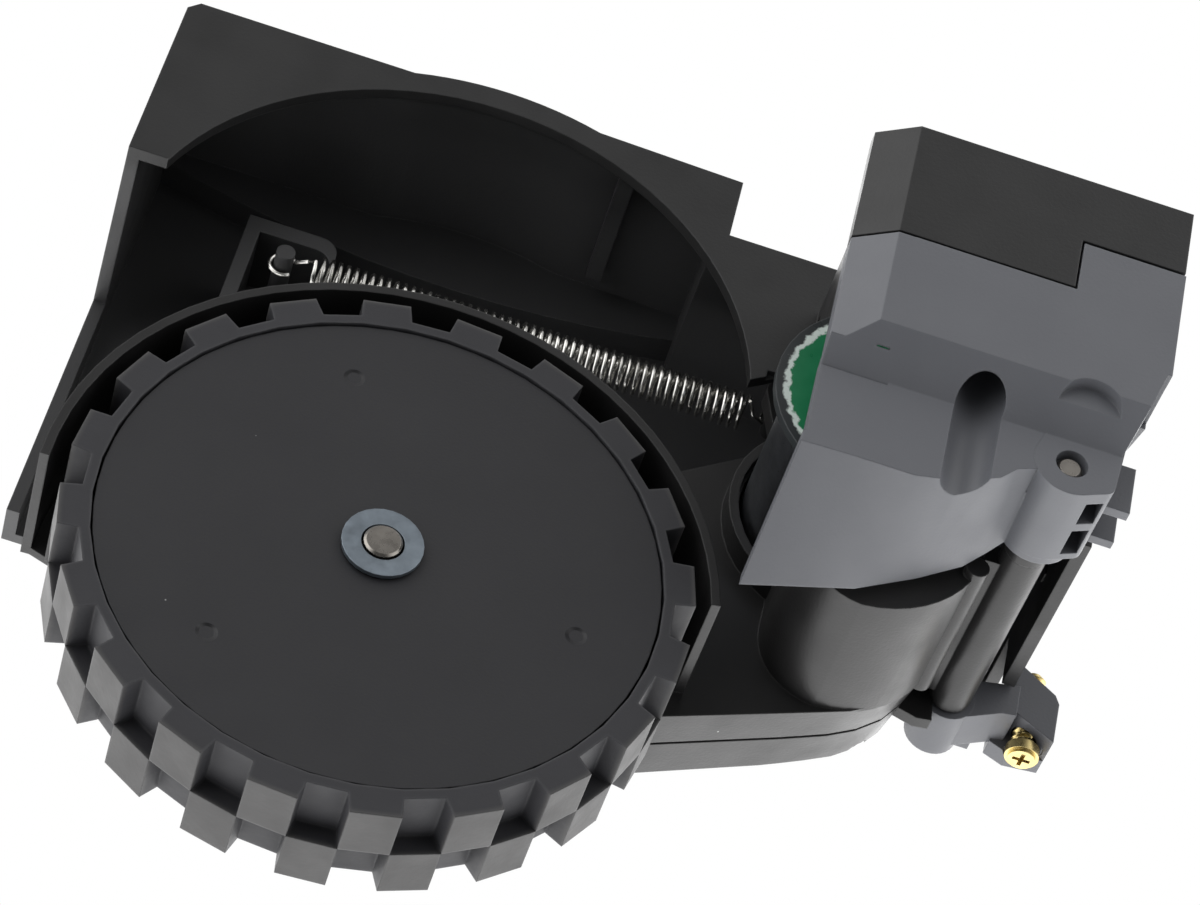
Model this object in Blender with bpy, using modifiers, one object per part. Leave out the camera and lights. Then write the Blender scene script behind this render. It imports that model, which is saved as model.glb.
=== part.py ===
"""Robot vacuum wheel module: housing, swing arm, gear train, wheel and spring.

Lengths below are millimetres in the module's own frame: X runs from the wheel
towards the arm's pivot, Y runs inwards along the wheel's axle, Z is up in the
robot. The wheel hangs on its lower stop, with the centre of its outer face at
(0, 0, 0) of that frame. A datum empty moves the frame so that the world's
origin lies on the housing's flat back, in line with the raised wheel's axle.
"""

import math

import bmesh
import bpy
from mathutils import Matrix, Vector

MM = 0.001
GAP = 0.3

# wheel and tyre
TYRE_RADIUS = 35.6
TYRE_WIDTH = 14.2
DISC_RADIUS = 31.7
TREAD_FLOOR = 33.2
TREAD_BLOCKS = 20
TREAD_PHASE = 175.0
SHAFT_RADIUS = 2.2

# pivot and swing arm
PIVOT = (70.0, 24.6)
PIN_RADIUS = 1.5
BARREL_RADIUS = 2.65
ARM_LIFT = 33.0
FENDER_RADIUS = 38.6
FENDER_WALL = 1.1
PLATE_Y = 17.5
SPLIT_Y = 23.5
REAR_Y = 30.0
WALL = 1.1

# motor
MOTOR = (51.4, 36.5)
CAN_RADIUS = 12.2
CAN_FRONT = -6.0
CAN_REAR = 21.0
COLLAR_RADIUS = 14.1
BOARD_RADIUS = 14.4
BOARD_Y = -7.6

# drum under the motor: two arcs of one turned-up corner
DRUM_MAIN = ((51.65, 25.35), 14.5)
DRUM_SIDE = ((53.6, 19.6), 8.7)
DRUM_FRONT = -2.3

# gear train: (module, pinion teeth, gear teeth) from the motor to the wheel
STAGES = ((0.6, 10, 40), (0.7, 12, 34), (0.8, 12, 30), (0.9, 13, 21))
GEAR_PIN_RADIUS = 1.0

# housing
PLATE_FRONT = 10.0
HOUSING_WALL = 1.6
HOUSING_BACK = 41.0
HOUSING_LEFT = -43.9
HOUSING_BOTTOM = 16.5
HOUSING_TOP = 82.9
SHOULDER_TOP = 72.6
HOUSING_RIGHT = 77.6
SHOULDER_X = 29.4
ARCH = (-2.02, 42.42)
ARCH_RADIUS = 39.0
LEDGE_Y = 28.0
LEDGE_CURVE = ((0.4, 207.3), 140.8)
TOWER_FRONT = -24.6
TOWER_TOP = 64.6
TOWER_LEFT = 40.2
TOWER_RIGHT = 78.6

# pivot bracket
LOWER_FACE_Y = -20.0
TONGUE_REAR_Y = -4.0
BRACKET_WALL = 2.2
EAR_RADIUS = 4.2
INNER_EAR_RADIUS = 4.5
DRIVER_BORE = (58.5, -20.5)
DRIVER_BORE_RADIUS = 2.8
SCREW_FLOOR = 43.4
SCREW_BOSS_RADIUS = 2.9
LUG_SCREW = (81.0, 29.5)

# extension spring
SPRING_Y = 23.0
SPRING_Z = 56.7
SPRING_START = -18.5
SPRING_END = 38.0
SPRING_RADIUS = 2.2
WIRE_RADIUS = 0.33
SPRING_TURNS = 42
HOUSING_POST = (-22.4, 56.6)
ARM_POST = (41.6, 56.8)

AXIS_Y = Matrix(((1, 0, 0, 0), (0, 0, -1, 0), (0, 1, 0, 0), (0, 0, 0, 1)))
AXIS_X = Matrix(((0, 0, 1, 0), (1, 0, 0, 0), (0, 1, 0, 0), (0, 0, 0, 1)))
AXIS_Z = Matrix.Identity(4)


def clear_scene():
    for old in list(bpy.data.objects):
        bpy.data.objects.remove(old, do_unlink=True)


def collection(name):
    made = bpy.data.collections.new(name)
    bpy.context.scene.collection.children.link(made)
    return made


def material(name, colour, roughness, metallic=0.0):
    made = bpy.data.materials.new(name)
    made.use_nodes = True
    shader = made.node_tree.nodes["Principled BSDF"]
    shader.inputs["Base Color"].default_value = (*colour, 1.0)
    shader.inputs["Roughness"].default_value = roughness
    shader.inputs["Metallic"].default_value = metallic
    return made


def empty(name, x, y, z, parent=None):
    """An axis or datum; x, y, z are in the module's frame."""
    made = bpy.data.objects.new(name, None)
    made.empty_display_size = 0.01
    PARTS.objects.link(made)
    if parent is None:
        made.location = (x * MM, y * MM, z * MM)
        made["at"] = (0.0, 0.0, 0.0)
        return made
    made.parent = parent
    base = parent["at"]
    made.location = ((x - base[0]) * MM, (y - base[1]) * MM, (z - base[2]) * MM)
    made["at"] = (x, y, z)
    return made


def arc(centre, radius, start, end, steps):
    """Points of an arc, both ends included, angles in degrees."""
    points = []
    for n in range(steps + 1):
        angle = math.radians(start + (end - start) * n / steps)
        points.append((centre[0] + radius * math.cos(angle), centre[1] + radius * math.sin(angle)))
    return points


def circle(centre, radius, steps=32):
    return arc(centre, radius, 0, 360 - 360 / steps, steps - 1)


def hull(circles, steps=48):
    """Convex outline round a set of circles (centre, radius)."""
    points = []
    for centre, radius in circles:
        points += circle(centre, radius, steps)
    points = sorted(set((round(x, 4), round(y, 4)) for x, y in points))

    def half(ordered):
        chain = []
        for point in ordered:
            while len(chain) > 1:
                ax, ay = chain[-2]
                bx, by = chain[-1]
                if (bx - ax) * (point[1] - ay) - (by - ay) * (point[0] - ax) > 0.002:
                    break
                chain.pop()
            chain.append(point)
        return chain[:-1]

    return half(points) + half(points[::-1])


def flat_mesh(outlines, thickness):
    """A flat outline with holes, as a filled 2D curve turned into a closed mesh."""
    curve = bpy.data.curves.new("outline", "CURVE")
    curve.dimensions = "2D"
    curve.fill_mode = "BOTH"
    curve.extrude = thickness * MM / 2
    for outline in outlines:
        spline = curve.splines.new("POLY")
        spline.points.add(len(outline) - 1)
        spline.use_cyclic_u = True
        for point, (x, y) in zip(spline.points, outline):
            point.co = (x * MM, y * MM, 0.0, 1.0)
    holder = bpy.data.objects.new("outline", curve)
    bpy.context.scene.collection.objects.link(holder)
    depsgraph = bpy.context.evaluated_depsgraph_get()
    mesh = bpy.data.meshes.new_from_object(holder.evaluated_get(depsgraph))
    bpy.data.objects.remove(holder, do_unlink=True)
    bpy.data.curves.remove(curve)
    weld(mesh)
    return mesh


def weld(mesh, distance=1e-6):
    shape = bmesh.new()
    shape.from_mesh(mesh)
    bmesh.ops.remove_doubles(shape, verts=shape.verts, dist=distance)
    bmesh.ops.recalc_face_normals(shape, faces=shape.faces)
    shape.to_mesh(mesh)
    shape.free()


def place(name, mesh, look, parent, shift=(0, 0, 0)):
    """Puts a mesh made in the module's frame under an axis empty."""
    base = parent["at"]
    offset = [(shift[n] - base[n]) * MM for n in range(3)]
    mesh.transform(Matrix.Translation(offset))
    made = bpy.data.objects.new(name, mesh)
    made.parent = parent
    if look is None:
        CUTTERS.objects.link(made)
        made.hide_render = True
        made.display_type = "WIRE"
    else:
        PARTS.objects.link(made)
        mesh.materials.clear()
        mesh.materials.append(look)
        mesh.shade_smooth()
        mesh.set_sharp_from_angle(angle=math.radians(35))
    return made


def prism(name, outline, low, high, look=None, parent=None, axis=AXIS_Y, holes=()):
    """An outline extruded along an axis from low to high."""
    mesh = flat_mesh([outline, *holes], high - low)
    mesh.transform(axis)
    middle = (axis @ Vector((0, 0, 1))) * (low + high) / 2
    if axis is AXIS_Y:
        middle = -middle
    return place(name, mesh, look, parent or DATUM, middle)


def box(name, low, high, look=None, parent=None):
    mesh = bpy.data.meshes.new(name)
    shape = bmesh.new()
    bmesh.ops.create_cube(shape, size=1.0)
    size = [(high[n] - low[n]) * MM for n in range(3)]
    bmesh.ops.scale(shape, vec=size, verts=shape.verts)
    shape.to_mesh(mesh)
    shape.free()
    middle = [(high[n] + low[n]) / 2 for n in range(3)]
    return place(name, mesh, look, parent or DATUM, middle)


def cylinder(name, centre, radius, low, high, look=None, parent=None, steps=32, axis=AXIS_Y):
    """A round bar along an axis; centre is (x, z) for Y, (x, y) for Z, (y, z) for X."""
    mesh = bpy.data.meshes.new(name)
    shape = bmesh.new()
    bmesh.ops.create_cone(
        shape,
        cap_ends=True,
        segments=steps,
        radius1=radius * MM,
        radius2=radius * MM,
        depth=(high - low) * MM,
    )
    shape.to_mesh(mesh)
    shape.free()
    mesh.transform(axis)
    middle = (low + high) / 2
    spots = {
        id(AXIS_Y): (centre[0], middle, centre[1]),
        id(AXIS_X): (middle, centre[0], centre[1]),
        id(AXIS_Z): (centre[0], centre[1], middle),
    }
    return place(name, mesh, look, parent or DATUM, spots[id(axis)])


def turned(name, profile, centre, look, parent, steps=48):
    """A closed or open (radius, y) profile turned about a Y axis, outer side first."""
    mesh = bpy.data.meshes.new(name)
    closed = profile[0][0] > 0
    points = [(r * MM, 0.0, -y * MM) for r, y in profile]
    edges = [(n, n + 1) for n in range(len(points) - 1)]
    if closed:
        edges.append((len(points) - 1, 0))
    mesh.from_pydata(points, edges, [])
    made = bpy.data.objects.new(name, mesh)
    made.parent = parent
    base = parent["at"]
    made.location = ((centre[0] - base[0]) * MM, -base[1] * MM, (centre[1] - base[2]) * MM)
    made.rotation_euler = (math.radians(90), 0, 0)
    PARTS.objects.link(made)
    mesh.materials.append(look)
    screw = made.modifiers.new("turn", "SCREW")
    screw.axis = "Z"
    screw.steps = steps
    screw.render_steps = steps
    screw.use_merge_vertices = True
    screw.merge_threshold = 1e-6
    screw.use_smooth_shade = True
    return made


def wire(name, points, radius, look, parent, resolution=1):
    """A round wire or tube along a list of points, with filled ends."""
    base = parent["at"]
    curve = bpy.data.curves.new(name, "CURVE")
    curve.dimensions = "3D"
    curve.bevel_depth = radius * MM
    curve.bevel_resolution = resolution
    curve.use_fill_caps = True
    spline = curve.splines.new("POLY")
    spline.points.add(len(points) - 1)
    for point, spot in zip(spline.points, points):
        point.co = (*[(spot[n] - base[n]) * MM for n in range(3)], 1.0)
    curve.materials.append(look)
    made = bpy.data.objects.new(name, curve)
    made.parent = parent
    PARTS.objects.link(made)
    return made


def loft(name, sections, look, parent=None):
    """Closed body through outlines of equal length, each at its own y."""
    mesh = bpy.data.meshes.new(name)
    shape = bmesh.new()
    rings = []
    for outline, y in sections:
        rings.append([shape.verts.new((px * MM, y * MM, pz * MM)) for px, pz in outline])
    count = len(rings[0])
    for lower, upper in zip(rings, rings[1:]):
        for n in range(count):
            shape.faces.new((lower[n], lower[(n + 1) % count], upper[(n + 1) % count], upper[n]))
    shape.faces.new(rings[0][::-1])
    shape.faces.new(rings[-1])
    bmesh.ops.recalc_face_normals(shape, faces=shape.faces)
    shape.to_mesh(mesh)
    shape.free()
    return place(name, mesh, look, parent or DATUM)


def rays(outline, centre, count):
    """The outline seen from a centre, resampled at even angles."""
    found = []
    for n in range(count):
        angle = 2 * math.pi * n / count
        dx, dz = math.cos(angle), math.sin(angle)
        best = 0.0
        for (ax, az), (bx, bz) in zip(outline, outline[1:] + outline[:1]):
            ex, ez = bx - ax, bz - az
            bottom = dx * ez - dz * ex
            if abs(bottom) < 1e-9:
                continue
            reach = ((ax - centre[0]) * ez - (az - centre[1]) * ex) / bottom
            share = ((ax - centre[0]) * dz - (az - centre[1]) * dx) / bottom
            if -1e-6 <= share <= 1 + 1e-6 and reach > best:
                best = reach
        found.append((centre[0] + best * dx, centre[1] + best * dz))
    return found


def boolean(target, tool, operation):
    step = target.modifiers.new(tool.name, "BOOLEAN")
    step.operation = operation
    step.solver = "EXACT"
    step.object = tool


def cut(target, *tools):
    for tool in tools:
        boolean(target, tool, "DIFFERENCE")


def join(target, *tools):
    for tool in tools:
        boolean(target, tool, "UNION")


# gear train


def train_centres():
    """Gear centres on a shallow arc from the motor to the wheel shaft."""
    reaches = [module * (small + big) / 2 + 0.05 for module, small, big in STAGES]
    length = math.hypot(*MOTOR)
    lean = math.atan2(MOTOR[1], MOTOR[0])
    slack = sum(reaches) - length
    bend = math.sqrt(max(slack, 0.0) * length) * 0.6
    spots = [(0.0, 0.0)]
    along = 0.0
    for reach in reaches[::-1][:2]:
        along += reach
        spots.append((along, -bend * math.sin(math.pi * along / length) * 0.5))
    flat = [(s * math.cos(lean) - d * math.sin(lean), s * math.sin(lean) + d * math.cos(lean))
            for s, d in spots]
    third = flat[1]
    second = flat[2]
    first = circle_cross(second, reaches[1], MOTOR, reaches[0])
    return first, second, third


def circle_cross(a, ra, b, rb):
    """The lower crossing of two circles, or the point between them."""
    dx, dz = b[0] - a[0], b[1] - a[1]
    gap = math.hypot(dx, dz)
    along = (ra * ra - rb * rb + gap * gap) / (2 * gap)
    side = math.sqrt(max(ra * ra - along * along, 0.0))
    ux, uz = dx / gap, dz / gap
    return (a[0] + ux * along + uz * side, a[1] + uz * along - ux * side)


def gear_outline(centre, module, teeth, phase):
    """Trapezoid teeth with rounded-down width at the tip; phase is a tooth's angle."""
    pitch = 2 * math.pi / teeth
    root = module * (teeth / 2 - 1.1)
    tip = module * (teeth / 2 + 0.85)
    points = []
    for n in range(teeth):
        middle = phase + n * pitch
        for radius, share in ((root, -0.36), (tip, -0.12), (tip, 0.12), (root, 0.36)):
            angle = middle + share * pitch
            points.append((centre[0] + radius * math.cos(angle), centre[1] + radius * math.sin(angle)))
    return points


def meshing_phase(here, there, phase, teeth, other_teeth):
    """The tooth angle of the gear at there that meshes with the gear at here."""
    line = math.atan2(there[1] - here[1], there[0] - here[0])
    pitch = 2 * math.pi / teeth
    other_pitch = 2 * math.pi / other_teeth
    offset = ((line - phase) % pitch) / pitch
    return line + math.pi + (offset + 0.5) * other_pitch


def spur(name, centre, module, teeth, phase, low, high, look, parent, bore):
    outline = gear_outline(centre, module, teeth, phase)
    hole = circle(centre, bore, 12)
    return prism(name, outline, low, high, look, parent, holes=[hole])


def compound_gear(name, centre, big, small, look, parent):
    """Two rims on one hub: each rim is (module, teeth, phase, low, high)."""
    bore = GEAR_PIN_RADIUS + 0.25
    gear = spur(name, centre, big[0], big[1], big[2], big[3], big[4], look, parent, bore)
    pinion = spur(name + "_pinion", centre, small[0], small[1], small[2],
                  small[3], small[4], None, parent, bore)
    join(gear, pinion)
    return gear


def gear_train(look):
    first, second, third = CENTRES
    (m1, p1, g1), (m2, p2, g2), (m3, p3, g3), (m4, p4, g4) = STAGES
    motor_phase = 0.0
    first_phase = meshing_phase(MOTOR, first, motor_phase, p1, g1)
    second_phase = meshing_phase(first, second, 0.0, p2, g2)
    third_phase = meshing_phase(second, third, 0.0, p3, g3)
    output_phase = meshing_phase(third, (0.0, 0.0), 0.0, p4, g4)
    spur("motor_pinion", MOTOR, m1, p1, motor_phase, 21.6, 23.6, BRASS, MOTOR_AXIS, 1.3)
    compound_gear("first_gear", first, (m1, g1, first_phase, 21.6, 23.2),
                  (m2, p2, 0.0, 23.1, 25.4), look, FIRST_AXIS)
    compound_gear("second_gear", second, (m2, g2, second_phase, 23.7, 25.3),
                  (m3, p3, 0.0, 25.2, 28.0), look, SECOND_AXIS)
    slow = compound_gear("third_gear", third, (m3, g3, third_phase, 25.7, 27.8),
                         (m4, p4, 0.0, 19.7, 23.3), look, THIRD_AXIS)
    neck = prism("third_gear_neck", circle(third, 3.6, 24), 23.2, 25.8, None, THIRD_AXIS,
                 holes=[circle(third, GEAR_PIN_RADIUS + 0.25, 12)])
    join(slow, neck)
    spur("output_gear", (0.0, 0.0), m4, g4, output_phase, 19.8, 23.2, look, WHEEL_AXIS,
         SHAFT_RADIUS + 0.25)
    for name, centre, axis, low, high in (
        ("first_gear_pin", first, FIRST_AXIS, 19.5, 28.3),
        ("second_gear_pin", second, SECOND_AXIS, 19.5, 28.3),
        ("third_gear_pin", third, THIRD_AXIS, 19.5, 28.3),
    ):
        cylinder(name, centre, GEAR_PIN_RADIUS, low, high, STEEL, ARM_AXIS, 12)


# wheel


def tread_row(name, phase, low, high, look, parent, outer):
    """One row of tread blocks on its band, as one outline with a round hole."""
    pitch = 360 / TREAD_BLOCKS
    outline = []
    for n in range(TREAD_BLOCKS):
        middle = phase + n * pitch
        for radius, share in ((TREAD_FLOOR, -0.285), (outer, -0.25), (outer, 0.25), (TREAD_FLOOR, 0.285)):
            angle = math.radians(middle + share * pitch)
            outline.append((radius * math.cos(angle), radius * math.sin(angle)))
    hole = circle((0, 0), DISC_RADIUS + GAP, 40)
    return prism(name, outline, low, high, look, parent, holes=[hole])


def wheel():
    middle = TYRE_WIDTH / 2
    tyre = tread_row("tyre", TREAD_PHASE, 0.0, middle + 0.02, TYRE, WHEEL_AXIS, TYRE_RADIUS)
    rear = tread_row("tyre_rear_row", TREAD_PHASE + 180 / TREAD_BLOCKS, middle, TYRE_WIDTH,
                     None, WHEEL_AXIS, TYRE_RADIUS)
    join(tyre, rear)
    face = 0.3
    web = 2.4
    hub = 6.5
    bore = SHAFT_RADIUS + 0.25
    rim = DISC_RADIUS - 2.0
    profile = [(DISC_RADIUS, face), (DISC_RADIUS, 13.8), (rim, 13.8), (rim, web),
               (hub, web), (hub, 13.8), (bore, 13.8), (bore, face)]
    turned("wheel_disc", profile, (0, 0), WHEEL, WHEEL_AXIS, 60)
    washer = [(4.63, -0.55), (4.63, 0.0), (bore, 0.0), (bore, -0.55)]
    turned("hub_washer", washer, (0, 0), STEEL, WHEEL_AXIS, 28)
    shaft = [(0.0, -0.95), (SHAFT_RADIUS - 0.25, -0.95), (SHAFT_RADIUS, -0.7),
             (SHAFT_RADIUS, 31.0), (SHAFT_RADIUS - 0.4, 31.4), (0.0, 31.4)]
    turned("wheel_shaft", shaft, (0, 0), STEEL, WHEEL_AXIS, 24)


# motor


def motor():
    can = [(0.0, CAN_FRONT), (CAN_RADIUS - 0.8, CAN_FRONT), (CAN_RADIUS, CAN_FRONT + 0.8),
           (CAN_RADIUS, CAN_REAR - 0.8), (CAN_RADIUS - 0.8, CAN_REAR), (0.0, CAN_REAR)]
    case = turned("motor_can", can, MOTOR, STEEL_DULL, ARM_AXIS, 40)
    for side, low, high in (("rear", CAN_FRONT - 1, CAN_FRONT + 2), ("front", CAN_REAR - 2, CAN_REAR + 1)):
        cut(case, cylinder("motor_can_bore_" + side, MOTOR, 1.4, low, high, parent=ARM_AXIS, steps=24))
    board = cylinder("encoder_board", MOTOR, BOARD_RADIUS, BOARD_Y, BOARD_Y + 1.2, BOARD, ARM_AXIS, 40)
    cut(board, cylinder("board_bore", MOTOR, 2.0, BOARD_Y - 1, BOARD_Y + 3, parent=ARM_AXIS, steps=24))
    spindle = [(0.0, CAN_FRONT - 5.4), (1.0, CAN_FRONT - 5.4), (1.0, CAN_FRONT + 1.6), (0.0, CAN_FRONT + 1.6)]
    turned("motor_rear_shaft", spindle, MOTOR, STEEL, MOTOR_AXIS, 14)
    shaft = [(0.0, CAN_REAR - 1.6), (1.0, CAN_REAR - 1.6), (1.0, 24.2), (0.0, 24.2)]
    turned("motor_shaft", shaft, MOTOR, STEEL, MOTOR_AXIS, 14)
    magnet = [(4.4, -11.2), (4.4, -8.2), (1.3, -8.2), (1.3, -11.2)]
    turned("encoder_magnet", magnet, MOTOR, MAGNET, MOTOR_AXIS, 20)


# swing arm


def drum_outline(inset, floor_gap):
    """Drum section: two bottom arcs and a roof that clears the motor can."""
    (sx, sz), side = DRUM_SIDE
    (mx, mz), main = DRUM_MAIN
    points = arc((sx, sz), side - inset, 180, 265, 10)
    points += arc((mx, mz), main - inset, 276, 350, 10)
    roof = floor_gap + CAN_RADIUS
    left = sx - side + inset
    right = mx + (main - inset) * math.cos(math.radians(350))
    high = math.degrees(math.acos((right - MOTOR[0]) / roof)) if right - MOTOR[0] < roof else 20
    low = math.degrees(math.acos((left - MOTOR[0]) / roof))
    points += arc(MOTOR, roof, -high, -low, 10)
    return points


def gearbox_circles(clearance):
    first, second, third = CENTRES
    tips = [module * (big / 2 + 0.85) for module, small, big in STAGES]
    return [((0.0, 0.0), tips[3] + clearance), (third, tips[2] + clearance),
            (second, tips[1] + clearance), (first, tips[0] + clearance)]


def front_circles():
    return gearbox_circles(WALL + GAP) + [(MOTOR, COLLAR_RADIUS), DRUM_MAIN, DRUM_SIDE]


def rear_circles():
    """The cover's lower edge sags below the shell's on a wide curve."""
    edge = [(37.6, 6.4), (44.4, 9.0), (50.0, 11.6), (57.0, 15.4), (61.6, 19.4)]
    return gearbox_circles(WALL + GAP) + [(MOTOR, COLLAR_RADIUS)] + [(spot, 1.6) for spot in edge]


def ring_sector(name, inner, outer, start, end, low, high, look, parent, steps=48):
    outline = arc((0, 0), outer, start, end, steps) + arc((0, 0), inner, end, start, steps)
    return prism(name, outline, low, high, look, parent)


def swing_arm():
    front = rays(hull(front_circles()), (34.0, 20.0), 56)
    rear = rays(hull(rear_circles()), (34.0, 20.0), 56)
    between = [((ax + bx) / 2, (az + bz) / 2) for (ax, az), (bx, bz) in zip(front, rear)]

    shell = loft("arm_shell", [(front, PLATE_Y), (between, SPLIT_Y - 0.2)], ARM, ARM_AXIS)
    inner = FENDER_RADIUS - FENDER_WALL
    join(shell, ring_sector("fender_rim", inner, FENDER_RADIUS, 10.3, 182.4, 0.65, PLATE_Y + 1.2,
                            None, ARM_AXIS, 32))
    web = arc((0, 0), FENDER_RADIUS - 0.5, 10.6, 182.1, 32) + [(-30.0, -4.0), (0.0, -11.0), (30.0, 1.0)]
    join(shell, prism("fender_web", web, PLATE_Y - 0.02, PLATE_Y + 1.2, parent=ARM_AXIS))
    join(shell, cylinder("motor_collar", MOTOR, COLLAR_RADIUS, 14.0, PLATE_Y + 0.5, parent=ARM_AXIS, steps=36))
    join(shell, prism("drum", drum_outline(0.0, GAP + 0.3), DRUM_FRONT, PLATE_Y + 0.6, parent=ARM_AXIS))
    join(shell, cylinder("shaft_boss", (0, 0), 5.6, 15.3, PLATE_Y + 0.4, parent=ARM_AXIS, steps=24))
    join(shell, cylinder("pivot_barrel", PIVOT, BARREL_RADIUS, -4.3, 24.6, parent=ARM_AXIS, steps=24))
    join(shell, cylinder("arm_bead", (65.0, 20.5), 1.4, -3.5, 19.0, parent=ARM_AXIS, steps=16))
    join(shell, box("barrel_web", (63.5, -2.0, 23.2), (68.6, 23.0, 25.8), parent=ARM_AXIS))
    anchor = hull([((45.6, 48.2), 3.4), (ARM_POST, 2.3)], 24)
    join(shell, prism("spring_arm", anchor, PLATE_Y + 0.1, 20.2, parent=ARM_AXIS))
    join(shell, cylinder("spring_post", ARM_POST, 1.2, 20.0, 25.4, parent=ARM_AXIS, steps=16))

    cavity = hull(gearbox_circles(GAP) + [(MOTOR, 12.9)], 28)
    cut(shell, prism("shell_cavity", cavity, 19.2, SPLIT_Y + 1.0, parent=ARM_AXIS))
    cut(shell, cylinder("motor_bore", MOTOR, CAN_RADIUS + GAP, 12.0, SPLIT_Y + 1.0, parent=ARM_AXIS, steps=36))
    cut(shell, cylinder("collar_recess", MOTOR, 12.9, 12.0, 15.5, parent=ARM_AXIS, steps=36))
    cut(shell, cylinder("outer_bush_bore", (0, 0), 4.3, 15.8, 20.0, parent=ARM_AXIS, steps=24))
    cut(shell, cylinder("shaft_way", (0, 0), SHAFT_RADIUS + 0.5, 14.0, 17.0, parent=ARM_AXIS, steps=24))
    cut(shell, cylinder("barrel_bore", PIVOT, PIN_RADIUS + 0.2, -6.0, 27.0, parent=ARM_AXIS, steps=24))
    for name, spot in COVER_SCREWS:
        cut(shell, cylinder(name + "_thread", spot, 1.1, 19.6, SPLIT_Y + 1.0, parent=ARM_AXIS, steps=16))

    cover = loft("gearbox_cover", [(between, SPLIT_Y + 0.2), (rear, REAR_Y)], ARM, ARM_AXIS)
    join(cover, cylinder("cover_boss", (0, 0), 5.6, REAR_Y - 0.5, 33.2, parent=ARM_AXIS, steps=24))
    cut(cover, prism("cover_cavity", cavity, SPLIT_Y - 1.0, 28.6, parent=ARM_AXIS))
    cut(cover, cylinder("inner_bush_bore", (0, 0), 4.3, 28.0, 32.0, parent=ARM_AXIS, steps=24))
    cut(cover, cylinder("ear_clearance", PIVOT, INNER_EAR_RADIUS + 0.5, 22.0, 34.0, parent=ARM_AXIS, steps=40))
    for name, spot in COVER_SCREWS:
        cut(cover, cylinder(name + "_way", spot, 1.5, 22.0, 32.0, parent=ARM_AXIS, steps=16))
        cut(cover, cylinder(name + "_sink", spot, 2.7, 28.9, 32.0, parent=ARM_AXIS, steps=20))
        screw = [(0.0, 20.0), (0.8, 20.0), (0.8, 29.2), (2.2, 29.2), (2.2, 30.2), (1.6, 30.7), (0.0, 30.7)]
        turned(name, screw, spot, STEEL_DARK, ARM_AXIS, 16)

    bush = [(4.0, 16.1), (4.0, 19.4), (SHAFT_RADIUS + 0.2, 19.4), (SHAFT_RADIUS + 0.2, 16.1)]
    turned("outer_shaft_bush", bush, (0, 0), BRONZE, ARM_AXIS, 24)
    bush = [(4.0, 28.4), (4.0, 31.6), (SHAFT_RADIUS + 0.2, 31.6), (SHAFT_RADIUS + 0.2, 28.4)]
    turned("inner_shaft_bush", bush, (0, 0), BRONZE, ARM_AXIS, 24)


# housing


def housing_outline(inset):
    """Outer outline of the housing in X and Z; inset gives the inside."""
    top = HOUSING_TOP - inset
    left = HOUSING_LEFT + inset
    dome = ARCH_RADIUS + 3.3 - inset
    half = math.degrees(math.acos((top - ARCH[1]) / dome))
    points = [(left, HOUSING_BOTTOM), (left, top - 1.4), (left + 1.4, top)]
    points += arc(ARCH, dome, 90 + half, 90 - half, 12)
    points += [(SHOULDER_X - inset, top - 0.6), (SHOULDER_X - inset, SHOULDER_TOP - inset),
               (HOUSING_RIGHT - inset, SHOULDER_TOP - inset), (HOUSING_RIGHT - inset, 35.0),
               (66.0, 33.0), (36.0, HOUSING_BOTTOM)]
    return points


def tower_outline(inset):
    """Tower section in X and Y, with its bevelled front corner."""
    return [(TOWER_LEFT + inset, -21.4 + inset * 0.5), (45.0 + inset * 0.4, TOWER_FRONT + inset),
            (TOWER_RIGHT - inset, TOWER_FRONT + inset), (TOWER_RIGHT - inset, PLATE_FRONT + 1.0),
            (TOWER_LEFT + 2.3 + inset, PLATE_FRONT + 1.0), (TOWER_LEFT + 2.3 + inset, -19.5 + inset),
            (TOWER_LEFT + inset, -19.5 + inset)]


def ledge_curve(left, right, lift):
    """Lower edge of the step behind the wheel arch, from left to right."""
    centre, radius = LEDGE_CURVE
    start = 360 - math.degrees(math.acos((left - centre[0]) / (radius - lift)))
    end = 360 - math.degrees(math.acos((right - centre[0]) / (radius - lift)))
    return arc(centre, radius - lift, start, end, 12)


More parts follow.
